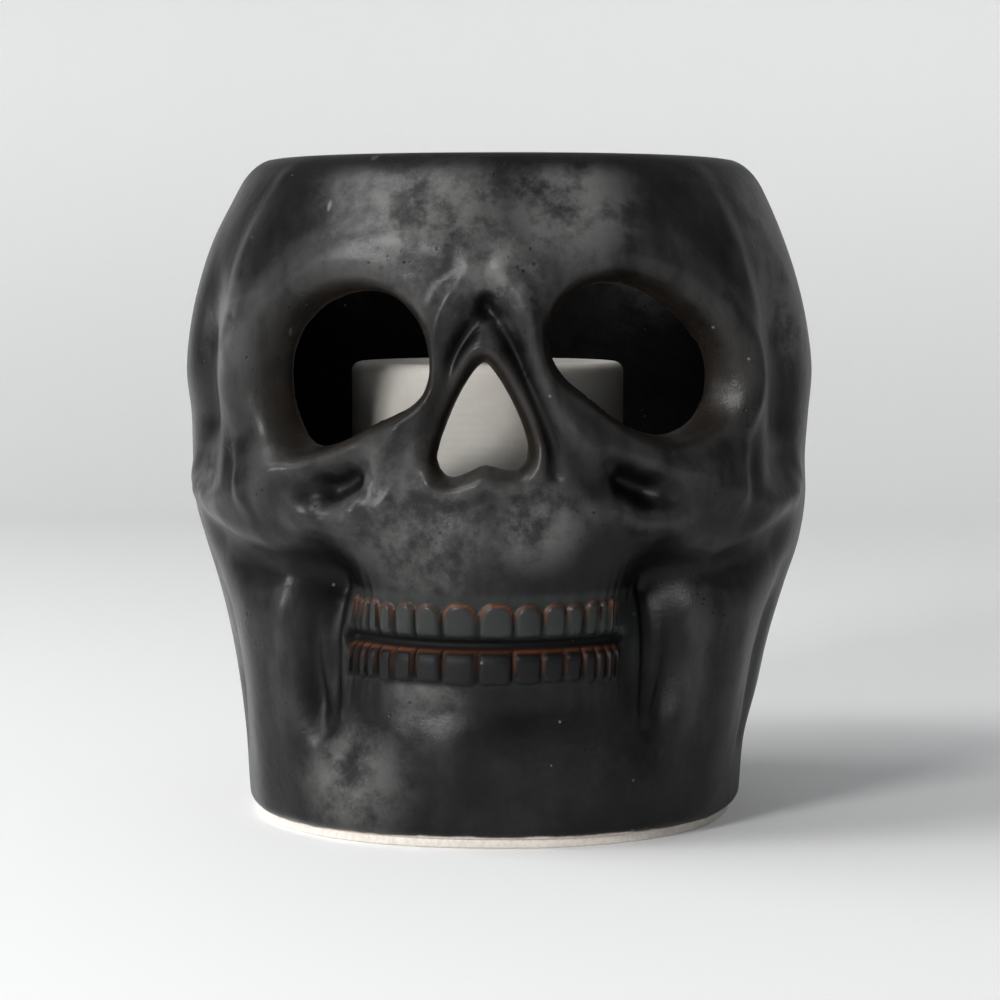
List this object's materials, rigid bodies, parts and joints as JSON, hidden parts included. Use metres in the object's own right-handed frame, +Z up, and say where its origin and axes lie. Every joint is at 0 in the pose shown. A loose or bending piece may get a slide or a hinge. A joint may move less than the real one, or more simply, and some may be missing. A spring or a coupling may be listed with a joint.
{
  "type": "candle holder",
  "caption": "Open-topped ceramic skull that stands on its foot ring and holds a pillar candle; light leaves through its cut-out eyes and nose.",
  "frame": {"origin": "centre of the foot's plane: middle of the bounding box in X and Y, and the surface it stands on in Z", "axes": "+Z up, the face looks along -Y, +X to the right of someone who looks at the face"},
  "size_m": [0.1731, 0.1754, 0.1788],
  "materials": {
    "black_glaze": "satin black glaze rubbed grey on the high parts, rust brown on the teeth, foot ring left bare",
    "ivory_wax": "smooth ivory wax",
    "cotton_wick": "braided cotton"
  },
  "bodies": {
    "root": {"skull_shell": "black_glaze", "pillar_candle": "ivory_wax", "candle_wick": "cotton_wick"}
  },
  "joints": []
}
